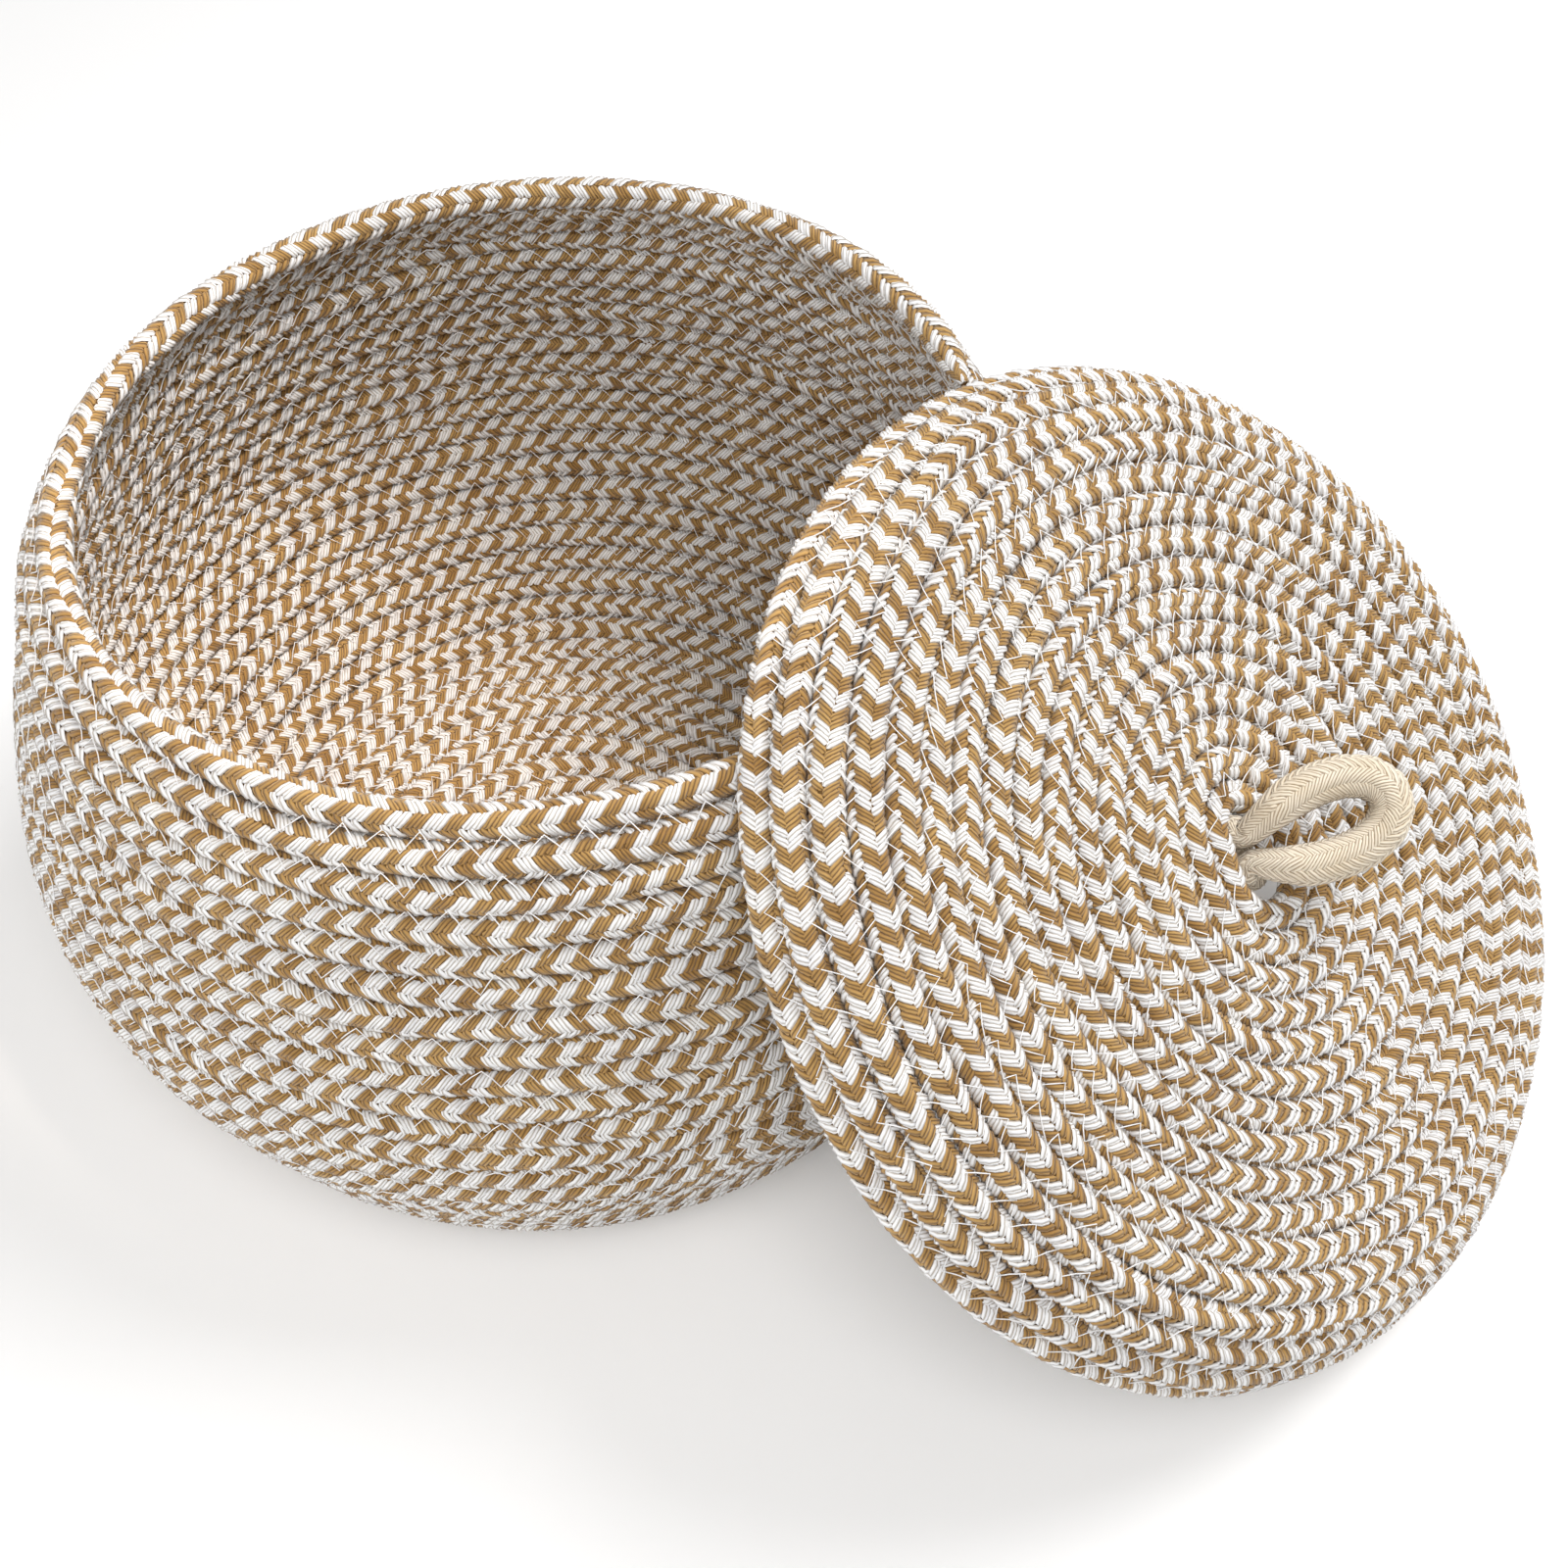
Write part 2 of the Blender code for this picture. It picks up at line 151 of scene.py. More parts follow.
def spiralRoute(count, step, firstRadius, firstStraight, edgeRows, edgeLength, profile, overlap):
    # half turns round two centres, then edge rows that climb in eased half turns
    perTurn, join = rows["pointsPerHalfTurn"], rows["joinShare"]
    turns, points, facings = [0.0], [(firstRadius - step / 2, -firstStraight / 2, 0)], [(0, 0, 1)]
    climbs = [0.0]                # share of the edge climbed, 0 over the flat part
    for turn in range(count + 1):
        side = 1 if turn % 2 == 0 else -1
        centre = (0.0 if turn % 2 == 0 else step) - step / 2
        reach = firstStraight / 2 * (1 - turn / (count + 1))
        radius = firstRadius + step * turn
        for corner in range(perTurn + 1):
            angle = math.pi * corner / perTurn
            turns.append(turn + join + (1 - 2 * join) * corner / perTurn)
            points.append((centre + radius * math.cos(angle) * side, side * (reach + radius * math.sin(angle)), 0))
            facings.append((0, 0, 1))
            climbs.append(0.0)
    distances, radii, heights, leans = profile
    floorHeight = np.interp(edgeLength, distances, heights)
    for corner in range(1, int((2 * edgeRows + overlap) * perTurn) + 1):
        halfTurns = corner / perTurn
        whole = corner // perTurn
        climbed = min(whole + (1 - math.cos(math.pi * (halfTurns - whole))) / 2, 2 * edgeRows)
        distance = edgeLength - climbed * rows["pitch"] / 2
        angle = math.pi * (count + 1 + halfTurns)
        radius = np.interp(distance, distances, radii)
        height = np.interp(distance, distances, heights) - floorHeight
        lean = np.interp(distance, distances, leans)
        turns.append(count + 1 + halfTurns)
        climbs.append(max(0.0, 1 - distance / edgeLength))
        points.append((radius * math.cos(angle), radius * math.sin(angle), height))
        facings.append((math.cos(lean) * math.cos(angle), math.cos(lean) * math.sin(angle), math.sin(lean)))
    return np.array(turns), np.array(points, float), np.array(facings, float), np.array(climbs)


def wallLean(distance):
    return np.interp(distance / (basket["wallRows"] * rows["pitch"]), basket["leanShares"], basket["leanDegrees"])


def lidLean(distance):
    row = distance / rows["pitch"]
    marks = [index + 0.5 for index in range(lid["edgeRows"])]
    return np.where(row < lid["edgeRows"], -90 + np.interp(row, marks, lid["edgeDegrees"]), -90)


def wobbled(points, facings, seed):
    # soft rope lies a hair out of line
    draw = np.random.default_rng(seed)
    length = len(points)
    marks = np.arange(0, length + rows["wobblePoints"], rows["wobblePoints"])
    lift = np.interp(np.arange(length), marks, draw.normal(0, rows["wobble"], len(marks)))
    return points + facings * lift[:, None]


def basketRoute():
    wallLength = basket["wallRows"] * rows["pitch"]
    profile = shellProfile(basket["rimRadius"], wallLength, wallLean)
    baseRadius = np.interp(wallLength, profile[0], profile[1])
    firstStraight = 2 * rows["solidRadius"]
    count, step = halfTurnPlan(baseRadius, rows["pitch"] / 2, firstStraight)
    turns, points, facings, climbs = spiralRoute(
        count, step, rows["pitch"] / 2, firstStraight, basket["wallRows"], wallLength, profile, basket["overlap"])
    spin = math.radians(basket["turnDegrees"])
    rise = climbs ** basket["shiftPower"]
    angle = np.arctan2(points[:, 1], points[:, 0])
    oval = rise * basket["ovalSize"] * np.cos(2 * (spin - math.radians(basket["longAxisDegrees"]) - angle))
    points[:, 0] += oval * np.cos(angle)
    points[:, 1] += oval * np.sin(angle)
    cosine, sine = math.cos(spin), math.sin(spin)
    turnFlip = np.array([[cosine, sine, 0], [sine, -cosine, 0], [0, 0, 1]])   # mirrored, then turned
    points, facings = points @ turnFlip.T, facings @ turnFlip.T
    points[:, 0] += basket["middle"][0] + basket["rimShift"][0] * rise
    points[:, 1] += basket["middle"][1] + basket["rimShift"][1] * rise
    points[:, 2] += rows["standingHeight"]
    return turns, wobbled(points, facings, basket["wobbleSeed"]), facings, count + 1


def lidRoute():
    edgeLength = lid["edgeRows"] * rows["pitch"]
    profile = shellProfile(lid["radius"], edgeLength, lidLean)
    crownRadius = np.interp(edgeLength, profile[0], profile[1])
    count, step = halfTurnPlan(crownRadius, lid["slotStart"], lid["slotLength"])
    turns, points, facings, climbs = spiralRoute(
        count, step, lid["slotStart"], lid["slotLength"], lid["edgeRows"], edgeLength, profile, lid["overlap"])
    points[:, 2] *= -1            # the lid's edge hangs down where the wall climbs
    facings[:, 2] = np.where(climbs > 0, -facings[:, 2], facings[:, 2])
    longAxis = math.radians(lid["longAxisDegrees"] - lid["loopBearingDegrees"] + 90)
    radius = np.hypot(points[:, 0], points[:, 1])
    angle = np.arctan2(points[:, 1], points[:, 0])
    swell = 1 + np.maximum(0, 1 - lid["slotStart"] / radius) * lid["ovalShare"] * np.cos(2 * (angle - longAxis))
    points[:, :2] *= swell[:, None]
    points[:, 0] += step / 2
    turn = np.array(lidTurn)
    facings = facings @ turn.T
    return turns, wobbled(points @ turn.T + np.array(lidCentre), facings, lid["wobbleSeed"]), facings, count + 1


# helpers for node trees

def feed(tree, sockets, values):
    # a value is another node's output to link, or a number to type in
    for socket, value in zip(sockets, values):
        if hasattr(value, "is_output"):
            tree.links.new(value, socket)
        else:
            socket.default_value = value


def mathNode(tree, operation, *values):
    made = tree.nodes.new("ShaderNodeMath")
    made.operation = operation
    feed(tree, made.inputs, values)
    return made.outputs["Value"]


def vectorMath(tree, operation, *values):
    made = tree.nodes.new("ShaderNodeVectorMath")
    made.operation = operation
    feed(tree, made.inputs, values)
    return made.outputs["Vector"]


def vectorScale(tree, vector, factor):
    made = tree.nodes.new("ShaderNodeVectorMath")
    made.operation = "SCALE"
    feed(tree, (made.inputs[0], made.inputs["Scale"]), (vector, factor))
    return made.outputs["Vector"]


def noiseNode(tree, dimensions, **inputs):
    made = tree.nodes.new("ShaderNodeTexNoise")
    made.noise_dimensions = dimensions
    feed(tree, [made.inputs[name] for name in inputs], inputs.values())
    return made.outputs


def colourMix(tree, low, high, factor):
    made = tree.nodes.new("ShaderNodeMix")
    made.data_type = "RGBA"
    feed(tree, (made.inputs["A"], made.inputs["B"], made.inputs["Factor"]), (low, high, factor))
    return made.outputs["Result"]


def rangeNode(tree, value, ends):
    made = tree.nodes.new("ShaderNodeMapRange")
    tree.links.new(value, made.inputs["Value"])
    feed(tree, [made.inputs[name] for name in ends], ends.values())
    return made.outputs["Result"]


# materials

yarn = {
    "perFinger": 2,               # yarns side by side in a finger of the braid
    "roundness": 0.7,
    "bendScale": 300,
    "bendShare": 0.12,
    "fibreScale": 1400,
    "patchScale": 90,
    "patchRange": {"From Min": 0.35, "From Max": 0.62},
    "bump": 0.75,
    "bumpDepth": 0.25 * mm,
    "surface": {"Roughness": 0.88, "Specular IOR Level": 0.25, "Sheen Weight": 0.25, "Sheen Roughness": 0.6},
}
plainFibre = {
    "specular": 0.3,
    "bump": 0.4,
    "bumpDepth": 0.1 * mm,
}


def newMaterial(name, surface):
    made = bpy.data.materials.new(name)
    made.use_nodes = True
    tree = made.node_tree
    shader = tree.nodes["Principled BSDF"]
    for key, value in surface.items():
        shader.inputs[key].default_value = value
    return made, tree, shader


def colourFromBytes(red, green, blue):
    def linear(value):
        value /= 255
        return value / 12.92 if value <= 0.04045 else ((value + 0.055) / 1.055) ** 2.4
    return (linear(red), linear(green), linear(blue), 1.0)


def finishShader(tree, shader, colour, height, settings):
    bump = tree.nodes.new("ShaderNodeBump")
    bump.inputs["Strength"].default_value = settings["bump"]
    bump.inputs["Distance"].default_value = settings["bumpDepth"]
    tree.links.new(height, bump.inputs["Height"])
    tree.links.new(bump.outputs["Normal"], shader.inputs["Normal"])
    tree.links.new(colour, shader.inputs["Base Color"])


def yarnMaterial(name, light, dark, groove, fuzz):
    # yarns lie side by side across each finger's own UV, with painted shade in the groove colour between them and
    # at the finger's edges; fibres and stains come from object coordinates
    made, tree, shader = newMaterial(name, yarn["surface"])
    uv = tree.nodes.new("ShaderNodeUVMap")
    uv.uv_map = "yarnUV"
    split = tree.nodes.new("ShaderNodeSeparateXYZ")
    tree.links.new(uv.outputs["UV"], split.inputs["Vector"])
    place = tree.nodes.new("ShaderNodeTexCoord").outputs["Object"]
    bend = noiseNode(tree, "3D", Vector=place, Scale=yarn["bendScale"], Detail=2)["Fac"]
    across = mathNode(tree, "MULTIPLY_ADD", bend, yarn["bendShare"], split.outputs["X"])
    wave = mathNode(tree, "SINE", mathNode(tree, "MULTIPLY", across, math.pi * yarn["perFinger"]))
    body = mathNode(tree, "POWER", mathNode(tree, "ABSOLUTE", wave), yarn["roundness"])
    fibre = noiseNode(tree, "3D", Vector=place, Scale=yarn["fibreScale"], Detail=4, Roughness=0.7)["Fac"]
    patch = noiseNode(tree, "3D", Vector=place, Scale=yarn["patchScale"], Detail=3)["Fac"]
    stained = rangeNode(tree, patch, yarn["patchRange"])
    tone = colourMix(tree, colourFromBytes(*dark), colourFromBytes(*light), stained)
    # painted shade: the groove colour darkens the creases between yarns and the finger's edges
    colour = colourMix(tree, colourFromBytes(*groove), tone, body)
    finishShader(tree, shader, colour, mathNode(tree, "MULTIPLY_ADD", fibre, fuzz, body), yarn)
    return made


def plainFibreMaterial(name, light, dark, scale, roughness):
    # core and thread: fine fibres only
    made, tree, shader = newMaterial(name, {"Roughness": roughness, "Specular IOR Level": plainFibre["specular"]})
    place = tree.nodes.new("ShaderNodeTexCoord").outputs["Object"]
    fibre = noiseNode(tree, "3D", Vector=place, Scale=scale, Detail=4)["Fac"]
    tone = colourMix(tree, colourFromBytes(*dark), colourFromBytes(*light), fibre)
    finishShader(tree, shader, tone, fibre, plainFibre)
    return made


# the third colour of each yarn is painted shade for its grooves, not a colour of the yarn
whiteYarn = yarnMaterial("white_cotton_yarn", (250, 250, 250), (238, 238, 240), (170, 156, 138), 0.35)
tanYarn = yarnMaterial("tan_cotton_yarn", (192, 153, 92), (162, 122, 64), (84, 54, 20), 0.35)
creamYarn = yarnMaterial("cream_cotton_yarn", (244, 234, 216), (234, 221, 198), (150, 118, 76), 0.3)
# the core's dark brown is painted shade: it shows only in the gaps between the braid's fingers
coreCottonPaintedShade = plainFibreMaterial("core_cotton_painted_shade", (118, 88, 48), (76, 54, 28), 800, 0.95)
whiteThread = plainFibreMaterial("white_sewing_thread", (252, 252, 252), (236, 236, 238), 900, 0.5)


# geometry trees

def newTree(name, inputs, output):
    # an empty tree with named sockets; the values are set on each line that grows
    tree = bpy.data.node_groups.new(name, "GeometryNodeTree")
    for key, kind in inputs.items():
        tree.interface.new_socket(name=key, in_out="INPUT", socket_type="NodeSocket" + kind)
    tree.interface.new_socket(name=output, in_out="OUTPUT", socket_type="NodeSocketGeometry")
    return tree, tree.nodes.new("NodeGroupInput").outputs


def filledNode(tree, kind, inputs, mode=None):
    made = tree.nodes.new(kind)
    if mode:
        made.mode = mode
    feed(tree, [made.inputs[name] for name in inputs], inputs.values())
    return made.outputs


def namedAttribute(tree, name, kind):
    made = tree.nodes.new("GeometryNodeInputNamedAttribute")
    made.data_type = kind
    made.inputs["Name"].default_value = name
    return [socket for socket in made.outputs if socket.enabled and socket.name == "Attribute"][0]


def sampledOnCurve(tree, curve, value, kind, length):
    made = tree.nodes.new("GeometryNodeSampleCurve")
    made.mode = "LENGTH"
    made.use_all_curves = True
    made.data_type = kind
    tree.links.new(curve, made.inputs["Curves"])
    tree.links.new(length, made.inputs["Length"])
    tree.links.new(value, [socket for socket in made.inputs if socket.enabled and socket.name == "Value"][0])
    return made.outputs


def realized(tree, geometry):
    return filledNode(tree, "GeometryNodeRealizeInstances", {"Geometry": geometry})["Geometry"]


def paintedOut(tree, geometry, material, output):
    painted = filledNode(tree, "GeometryNodeSetMaterial", {"Geometry": geometry, "Material": material})
    tree.links.new(painted["Geometry"], tree.nodes.new("NodeGroupOutput").inputs[output])


def braidTree():
    # repeats of the braid stand in a straight row, are bent round the rope's line, twisted and ruffled
    tree, given = newTree("braidAlongRope", {
        "Rope Line": "Geometry",
        "Repeat Piece": "Object",
        "Repeat Length": "Float",
        "Colour Start": "Float",
        "Rope Start": "Float",
        "Turned": "Float",
        "Twist": "Float",
        "Twist Length": "Float",
        "Unevenness": "Float",
        "Seed": "Int",
        "Yarn": "Material",
    }, "Braid")
    curve = filledNode(tree, "GeometryNodeMeshToCurve", {"Mesh": given["Rope Line"]})["Curve"]
    length = filledNode(tree, "GeometryNodeCurveLength", {"Curve": curve})["Length"]
    count = mathNode(tree, "CEIL", mathNode(tree, "DIVIDE", length, given["Repeat Length"]))
    begun = mathNode(tree, "MODULO", given["Rope Start"], given["Repeat Length"])
    first = mathNode(tree, "SUBTRACT", given["Colour Start"], mathNode(tree, "ADD", begun, given["Repeat Length"]))
    start = filledNode(tree, "ShaderNodeCombineXYZ", {"X": first})["Vector"]
    offset = filledNode(tree, "ShaderNodeCombineXYZ", {"X": given["Repeat Length"]})["Vector"]
    places = filledNode(tree, "GeometryNodeMeshLine", {
        "Count": mathNode(tree, "ADD", count, 3.0),          # spare repeats gather at both ends
        "Start Location": start,
        "Offset": offset,
    }, "OFFSET")["Mesh"]
    piece = filledNode(tree, "GeometryNodeObjectInfo", {"Object": given["Repeat Piece"]})["Geometry"]
    row = filledNode(tree, "GeometryNodeInstanceOnPoints", {"Points": places, "Instance": piece})["Instances"]

    position = tree.nodes.new("GeometryNodeInputPosition").outputs["Position"]
    straight = filledNode(tree, "ShaderNodeSeparateXYZ", {"Vector": position})
    x, y, z = straight["X"], straight["Y"], straight["Z"]
    facing = namedAttribute(tree, "outOfShell", "FLOAT_VECTOR")
    sampled = sampledOnCurve(tree, curve, facing, "FLOAT_VECTOR", x)
    plump = sampledOnCurve(tree, curve, namedAttribute(tree, "plumpness", "FLOAT"), "FLOAT", x)["Value"]
    crossed = vectorMath(tree, "CROSS_PRODUCT", sampled["Value"], sampled["Tangent"])
    across = vectorMath(tree, "NORMALIZE", crossed)
    out = vectorMath(tree, "CROSS_PRODUCT", sampled["Tangent"], across)

    alongRope = mathNode(tree, "ADD", x, given["Rope Start"])
    along = mathNode(tree, "DIVIDE", alongRope, given["Twist Length"])
    slow = noiseNode(tree, "1D", W=along, Scale=1.0, Detail=0.0)["Fac"]
    twisted = mathNode(tree, "MULTIPLY", mathNode(tree, "SUBTRACT", slow, 0.5), given["Twist"])
    angle = mathNode(tree, "ADD", twisted, given["Turned"])
    cosine, sine = mathNode(tree, "COSINE", angle), mathNode(tree, "SINE", angle)
    newY = mathNode(tree, "SUBTRACT", mathNode(tree, "MULTIPLY", y, cosine), mathNode(tree, "MULTIPLY", z, sine))
    newZ = mathNode(tree, "ADD", mathNode(tree, "MULTIPLY", y, sine), mathNode(tree, "MULTIPLY", z, cosine))
    aside = vectorScale(tree, across, mathNode(tree, "MULTIPLY", newY, plump))
    outward = vectorScale(tree, out, mathNode(tree, "MULTIPLY", newZ, plump))
    bent = vectorMath(tree, "ADD", sampled["Position"], vectorMath(tree, "ADD", aside, outward))

    ruffle = noiseNode(tree, "4D", Vector=bent, W=given["Seed"], Scale=220, Detail=1.0)["Color"]
    ruffled = vectorMath(tree, "SUBTRACT", ruffle, (0.5, 0.5, 0.5))
    shaken = vectorScale(tree, ruffled, given["Unevenness"])
    placed = filledNode(tree, "GeometryNodeSetPosition", {
        "Geometry": realized(tree, row),
        "Position": vectorMath(tree, "ADD", bent, shaken),
    })
    paintedOut(tree, placed["Geometry"], given["Yarn"], "Braid")
    return tree


def tubeTree():
    # a plain round tube along a line
    tree, given = newTree("tubeAlongLine", {
        "Line": "Geometry",
        "Radius": "Float",
        "Sides": "Int",
        "Step": "Float",
        "Finish": "Material",
    }, "Tube")
    curve = filledNode(tree, "GeometryNodeMeshToCurve", {"Mesh": given["Line"]})["Curve"]
    spaced = filledNode(tree, "GeometryNodeResampleCurve", {"Curve": curve, "Length": given["Step"]}, "LENGTH")
    outline = filledNode(tree, "GeometryNodeCurvePrimitiveCircle", {
        "Resolution": given["Sides"],
        "Radius": given["Radius"],
    })
    tube = filledNode(tree, "GeometryNodeCurveToMesh", {
        "Curve": spaced["Curve"],
        "Profile Curve": outline["Curve"],
        "Scale": namedAttribute(tree, "plumpness", "FLOAT"),
        "Fill Caps": True,
    })
    paintedOut(tree, realized(tree, tube["Mesh"]), given["Finish"], "Tube")
    return tree


def zigzagTree():
    # sewing thread that crosses a seam from one row to the next and back
    tree, given = newTree("zigzagOverSeam", {
        "Seam Line": "Geometry",
        "Stitch Length": "Float",
        "Stitch Width": "Float",
        "Lift": "Float",
        "Bow": "Float",
        "Looseness": "Float",
        "Thread Radius": "Float",
        "Seed": "Int",
        "Thread": "Material",
    }, "Stitches")
    curve = filledNode(tree, "GeometryNodeMeshToCurve", {"Mesh": given["Seam Line"]})["Curve"]
    spaced = filledNode(tree, "GeometryNodeResampleCurve", {
        "Curve": curve,
        "Length": given["Stitch Length"],
    }, "LENGTH")["Curve"]
    index = tree.nodes.new("GeometryNodeInputIndex").outputs["Index"]
    odd = mathNode(tree, "MODULO", index, 2.0)
    side = mathNode(tree, "MULTIPLY", mathNode(tree, "SUBTRACT", odd, 0.5), given["Stitch Width"])
    most = filledNode(tree, "ShaderNodeCombineXYZ", dict.fromkeys("XYZ", given["Looseness"]))["Vector"]
    chance = tree.nodes.new("FunctionNodeRandomValue")
    chance.data_type = "FLOAT_VECTOR"
    tree.links.new(given["Seed"], chance.inputs["Seed"])
    tree.links.new(vectorScale(tree, most, -1.0), chance.inputs["Min"])
    tree.links.new(most, chance.inputs["Max"])
    out = namedAttribute(tree, "outOfShell", "FLOAT_VECTOR")
    across = namedAttribute(tree, "acrossRows", "FLOAT_VECTOR")
    offset = vectorMath(tree, "ADD", vectorScale(tree, across, side), vectorScale(tree, out, given["Lift"]))
    moved = filledNode(tree, "GeometryNodeSetPosition", {
        "Geometry": spaced,
        "Offset": vectorMath(tree, "ADD", offset, chance.outputs["Value"]),
    })["Geometry"]
    halved = filledNode(tree, "GeometryNodeSubdivideCurve", {"Curve": moved, "Cuts": 1})["Curve"]
    middle = mathNode(tree, "MULTIPLY", mathNode(tree, "MODULO", index, 2.0), given["Bow"])
    bowed = filledNode(tree, "GeometryNodeSetPosition", {
        "Geometry": halved,
        "Offset": vectorScale(tree, out, middle),
    })["Geometry"]
    outline = filledNode(tree, "GeometryNodeCurvePrimitiveCircle", {
        "Resolution": 4,
        "Radius": given["Thread Radius"],
    })
    tube = filledNode(tree, "GeometryNodeCurveToMesh", {
        "Curve": bowed,
        "Profile Curve": outline["Curve"],
        "Fill Caps": True,
    })
    paintedOut(tree, realized(tree, tube["Mesh"]), given["Thread"], "Stitches")
    return tree


# lines that grow, and the pieces that are repeated along them

def lineMesh(name, points, carried):
    # a bare line of vertices that carries directions and sizes
    data = bpy.data.meshes.new(name)
    data.from_pydata([tuple(point) for point in points], [(i, i + 1) for i in range(len(points) - 1)], [])
    for key, values in carried.items():
        plain = np.ndim(values) == 1
        attribute = data.attributes.new(key, "FLOAT" if plain else "FLOAT_VECTOR", "POINT")
        attribute.data.foreach_set("value" if plain else "vector", np.asarray(values, np.float32).ravel())
    made = bpy.data.objects.new(name, data)
    scene.collection.objects.link(made)
    return made


def grown(name, points, carried, tree, settings, body, standing=False):
    # runs a node tree on a line, keeps the result as a plain mesh, and lets it ride
    source = lineMesh(name + "_line", points, carried)
    growth = source.modifiers.new("growth", "NODES")
    growth.node_group = tree
    sockets = {item.name: item.identifier for item in tree.interface.items_tree if item.in_out == "INPUT"}
    for key, value in settings.items():
        growth[sockets[key]] = value
    graph = bpy.context.evaluated_depsgraph_get()
    graph.update()
    evaluated = source.evaluated_get(graph)
    data = bpy.data.meshes.new_from_object(evaluated, preserve_all_data_layers=True, depsgraph=graph)
    source.modifiers.remove(growth)
    bpy.data.objects.remove(source)
    for key in carried:
        if key in data.attributes:
            data.attributes.remove(data.attributes[key])
    if standing:                  # pressed flat where it stands
        places = np.zeros(len(data.vertices) * 3, np.float32)
        data.vertices.foreach_get("co", places)
        places = places.reshape(-1, 3)
        places[:, 2] = np.maximum(places[:, 2], 0)
        data.vertices.foreach_set("co", places.ravel())
    data.name = name
    data.shade_smooth()
    made = bpy.data.objects.new(name, data)
    scene.collection.objects.link(made)
    if body:
        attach(made, body)
    data.calc_loop_triangles()
    print(name, len(data.loop_triangles), "triangles")
    return made


def fingerPiece(name, settings):
    # one repeat of a braid's fingers: strips that lean left or right by column, cut square where they dive
    columns, step, radius = settings["columns"], settings["fingerStep"], settings["radius"]
    crown, sag, dive = settings["crown"], settings["sag"], settings["dive"]
    lean = math.radians(settings["braidDegrees"])
    height = 2 * math.pi * radius / columns
    half = height / 2 / math.sin(lean)
    width = step * math.sin(lean) * settings["fullness"]
    reach = half + settings["tuck"]
    shoulder = settings["shoulder"] * half
    alongFinger = ((-reach, -dive), (-shoulder, crown - sag), (0.0, crown), (shoulder, crown - sag), (reach, -dive))
    acrossFinger = ((-0.5, -settings["groove"]), (0.0, 0.0), (0.5, -settings["groove"]))
    line = len(acrossFinger)
    places, faces, marks = [], [], []
    for column in range(columns):
        side = 1 if column % 2 == 0 else -1
        for finger in range(settings["fingers"]):
            first = len(places)
            middle = (finger + settings["shifts"][column]) * step
            for p, fall in alongFinger:
                for q, drop in acrossFinger:
                    x = middle + p * math.cos(lean) - side * q * width * math.sin(lean)
                    y = (column + 0.5) * height + side * p * math.sin(lean) + q * width * math.cos(lean)
                    turn, far = y / radius, radius + fall + drop
                    places.append((x, far * math.sin(turn), far * math.cos(turn)))
                    marks.append((q + 0.5, p / reach / 2 + 0.5))
            for i in range(len(alongFinger) - 1):
                for j in range(line - 1):
                    a = first + line * i + j
                    faces.append((a, a + 1, a + line + 1, a + line))
    data = bpy.data.meshes.new(name)
    data.from_pydata(places, [], faces)
    layer = data.uv_layers.new(name="yarnUV")
    for loop in data.loops:
        layer.data[loop.index].uv = marks[loop.vertex_index]
    crownFace = data.polygons[line - 1]            # beside the first finger's crown
    if crownFace.normal.dot(Vector((0, *crownFace.center.yz))) < 0:
        data.flip_normals()
    made = bpy.data.objects.new(name, data)
    scene.collection.objects.link(made)
    made.hide_render = True
    return made


# rope

rope = {
    "radius": 4.2 * mm,
    "columns": 6,
    "fingers": 2,                 # of each colour in one repeat
    "fingerStep": 2.0 * mm,
    "shifts": (0.0, 0.5, 2.0, 2.5, 0.0, 0.5),
    "braidDegrees": 57,
    "fullness": 1.06,
    "tuck": 0.35 * mm,
    "dive": 0.8 * mm,
    "sag": 0.12 * mm,
    "shoulder": 0.75,             # of a finger's half length
    "groove": 0.62 * mm,
    "crowns": {"white": 0.18 * mm, "tan": -0.04 * mm},
    "turned": -1.1,
    "twist": 1.9,
    "twistLength": 55 * mm,
    "unevenness": 1.05 * mm,
    "coreRadius": 3.45 * mm,
    "coreSides": 8,
    "coreStep": 4 * mm,
    "tip": 13 * mm,               # the cut ends are drawn in
    "tipSize": 0.3,
    "longestRun": 14,             # a coil of more half turns than this is grown in two runs
    "runs": 2,
}
thread = {
    "stitchLength": 4.2 * mm,
    "stitchWidth": 5.2 * mm,
    "lift": 3.75 * mm,
    "bow": -0.35 * mm,
    "looseness": 0.6 * mm,
    "radius": 0.16 * mm,
}

braid = braidTree()
tube = tubeTree()
zigzag = zigzagTree()
ropePieces = {
    colour: fingerPiece(colour + "Piece", {**rope, "crown": crown}) for colour, crown in rope["crowns"].items()}


def readAt(places, marks, values):
    return np.stack([np.interp(places, marks, column) for column in values.T], 1)


def part(turns, values, first, last):
    # the stretch of a route between two counts of half turns
    keep = (turns > first) & (turns < last)
    ends = readAt((first, last), turns, values)
    return np.vstack([ends[:1], values[keep], ends[1:]])


def braidSettings(look, piece, repeat, finish, colourStart, ropeStart, seed):
    return {
        "Repeat Piece": piece,
        "Repeat Length": repeat,
        "Colour Start": colourStart,
        "Rope Start": ropeStart,
        "Turned": look["turned"],
        "Twist": look["twist"],
        "Twist Length": look["twistLength"],
        "Unevenness": look["unevenness"],
        "Seed": seed,
        "Yarn": finish,
    }


def coreSettings(look, finish):
    return {"Radius": look["coreRadius"], "Sides": look["coreSides"], "Step": look["coreStep"], "Finish": finish}


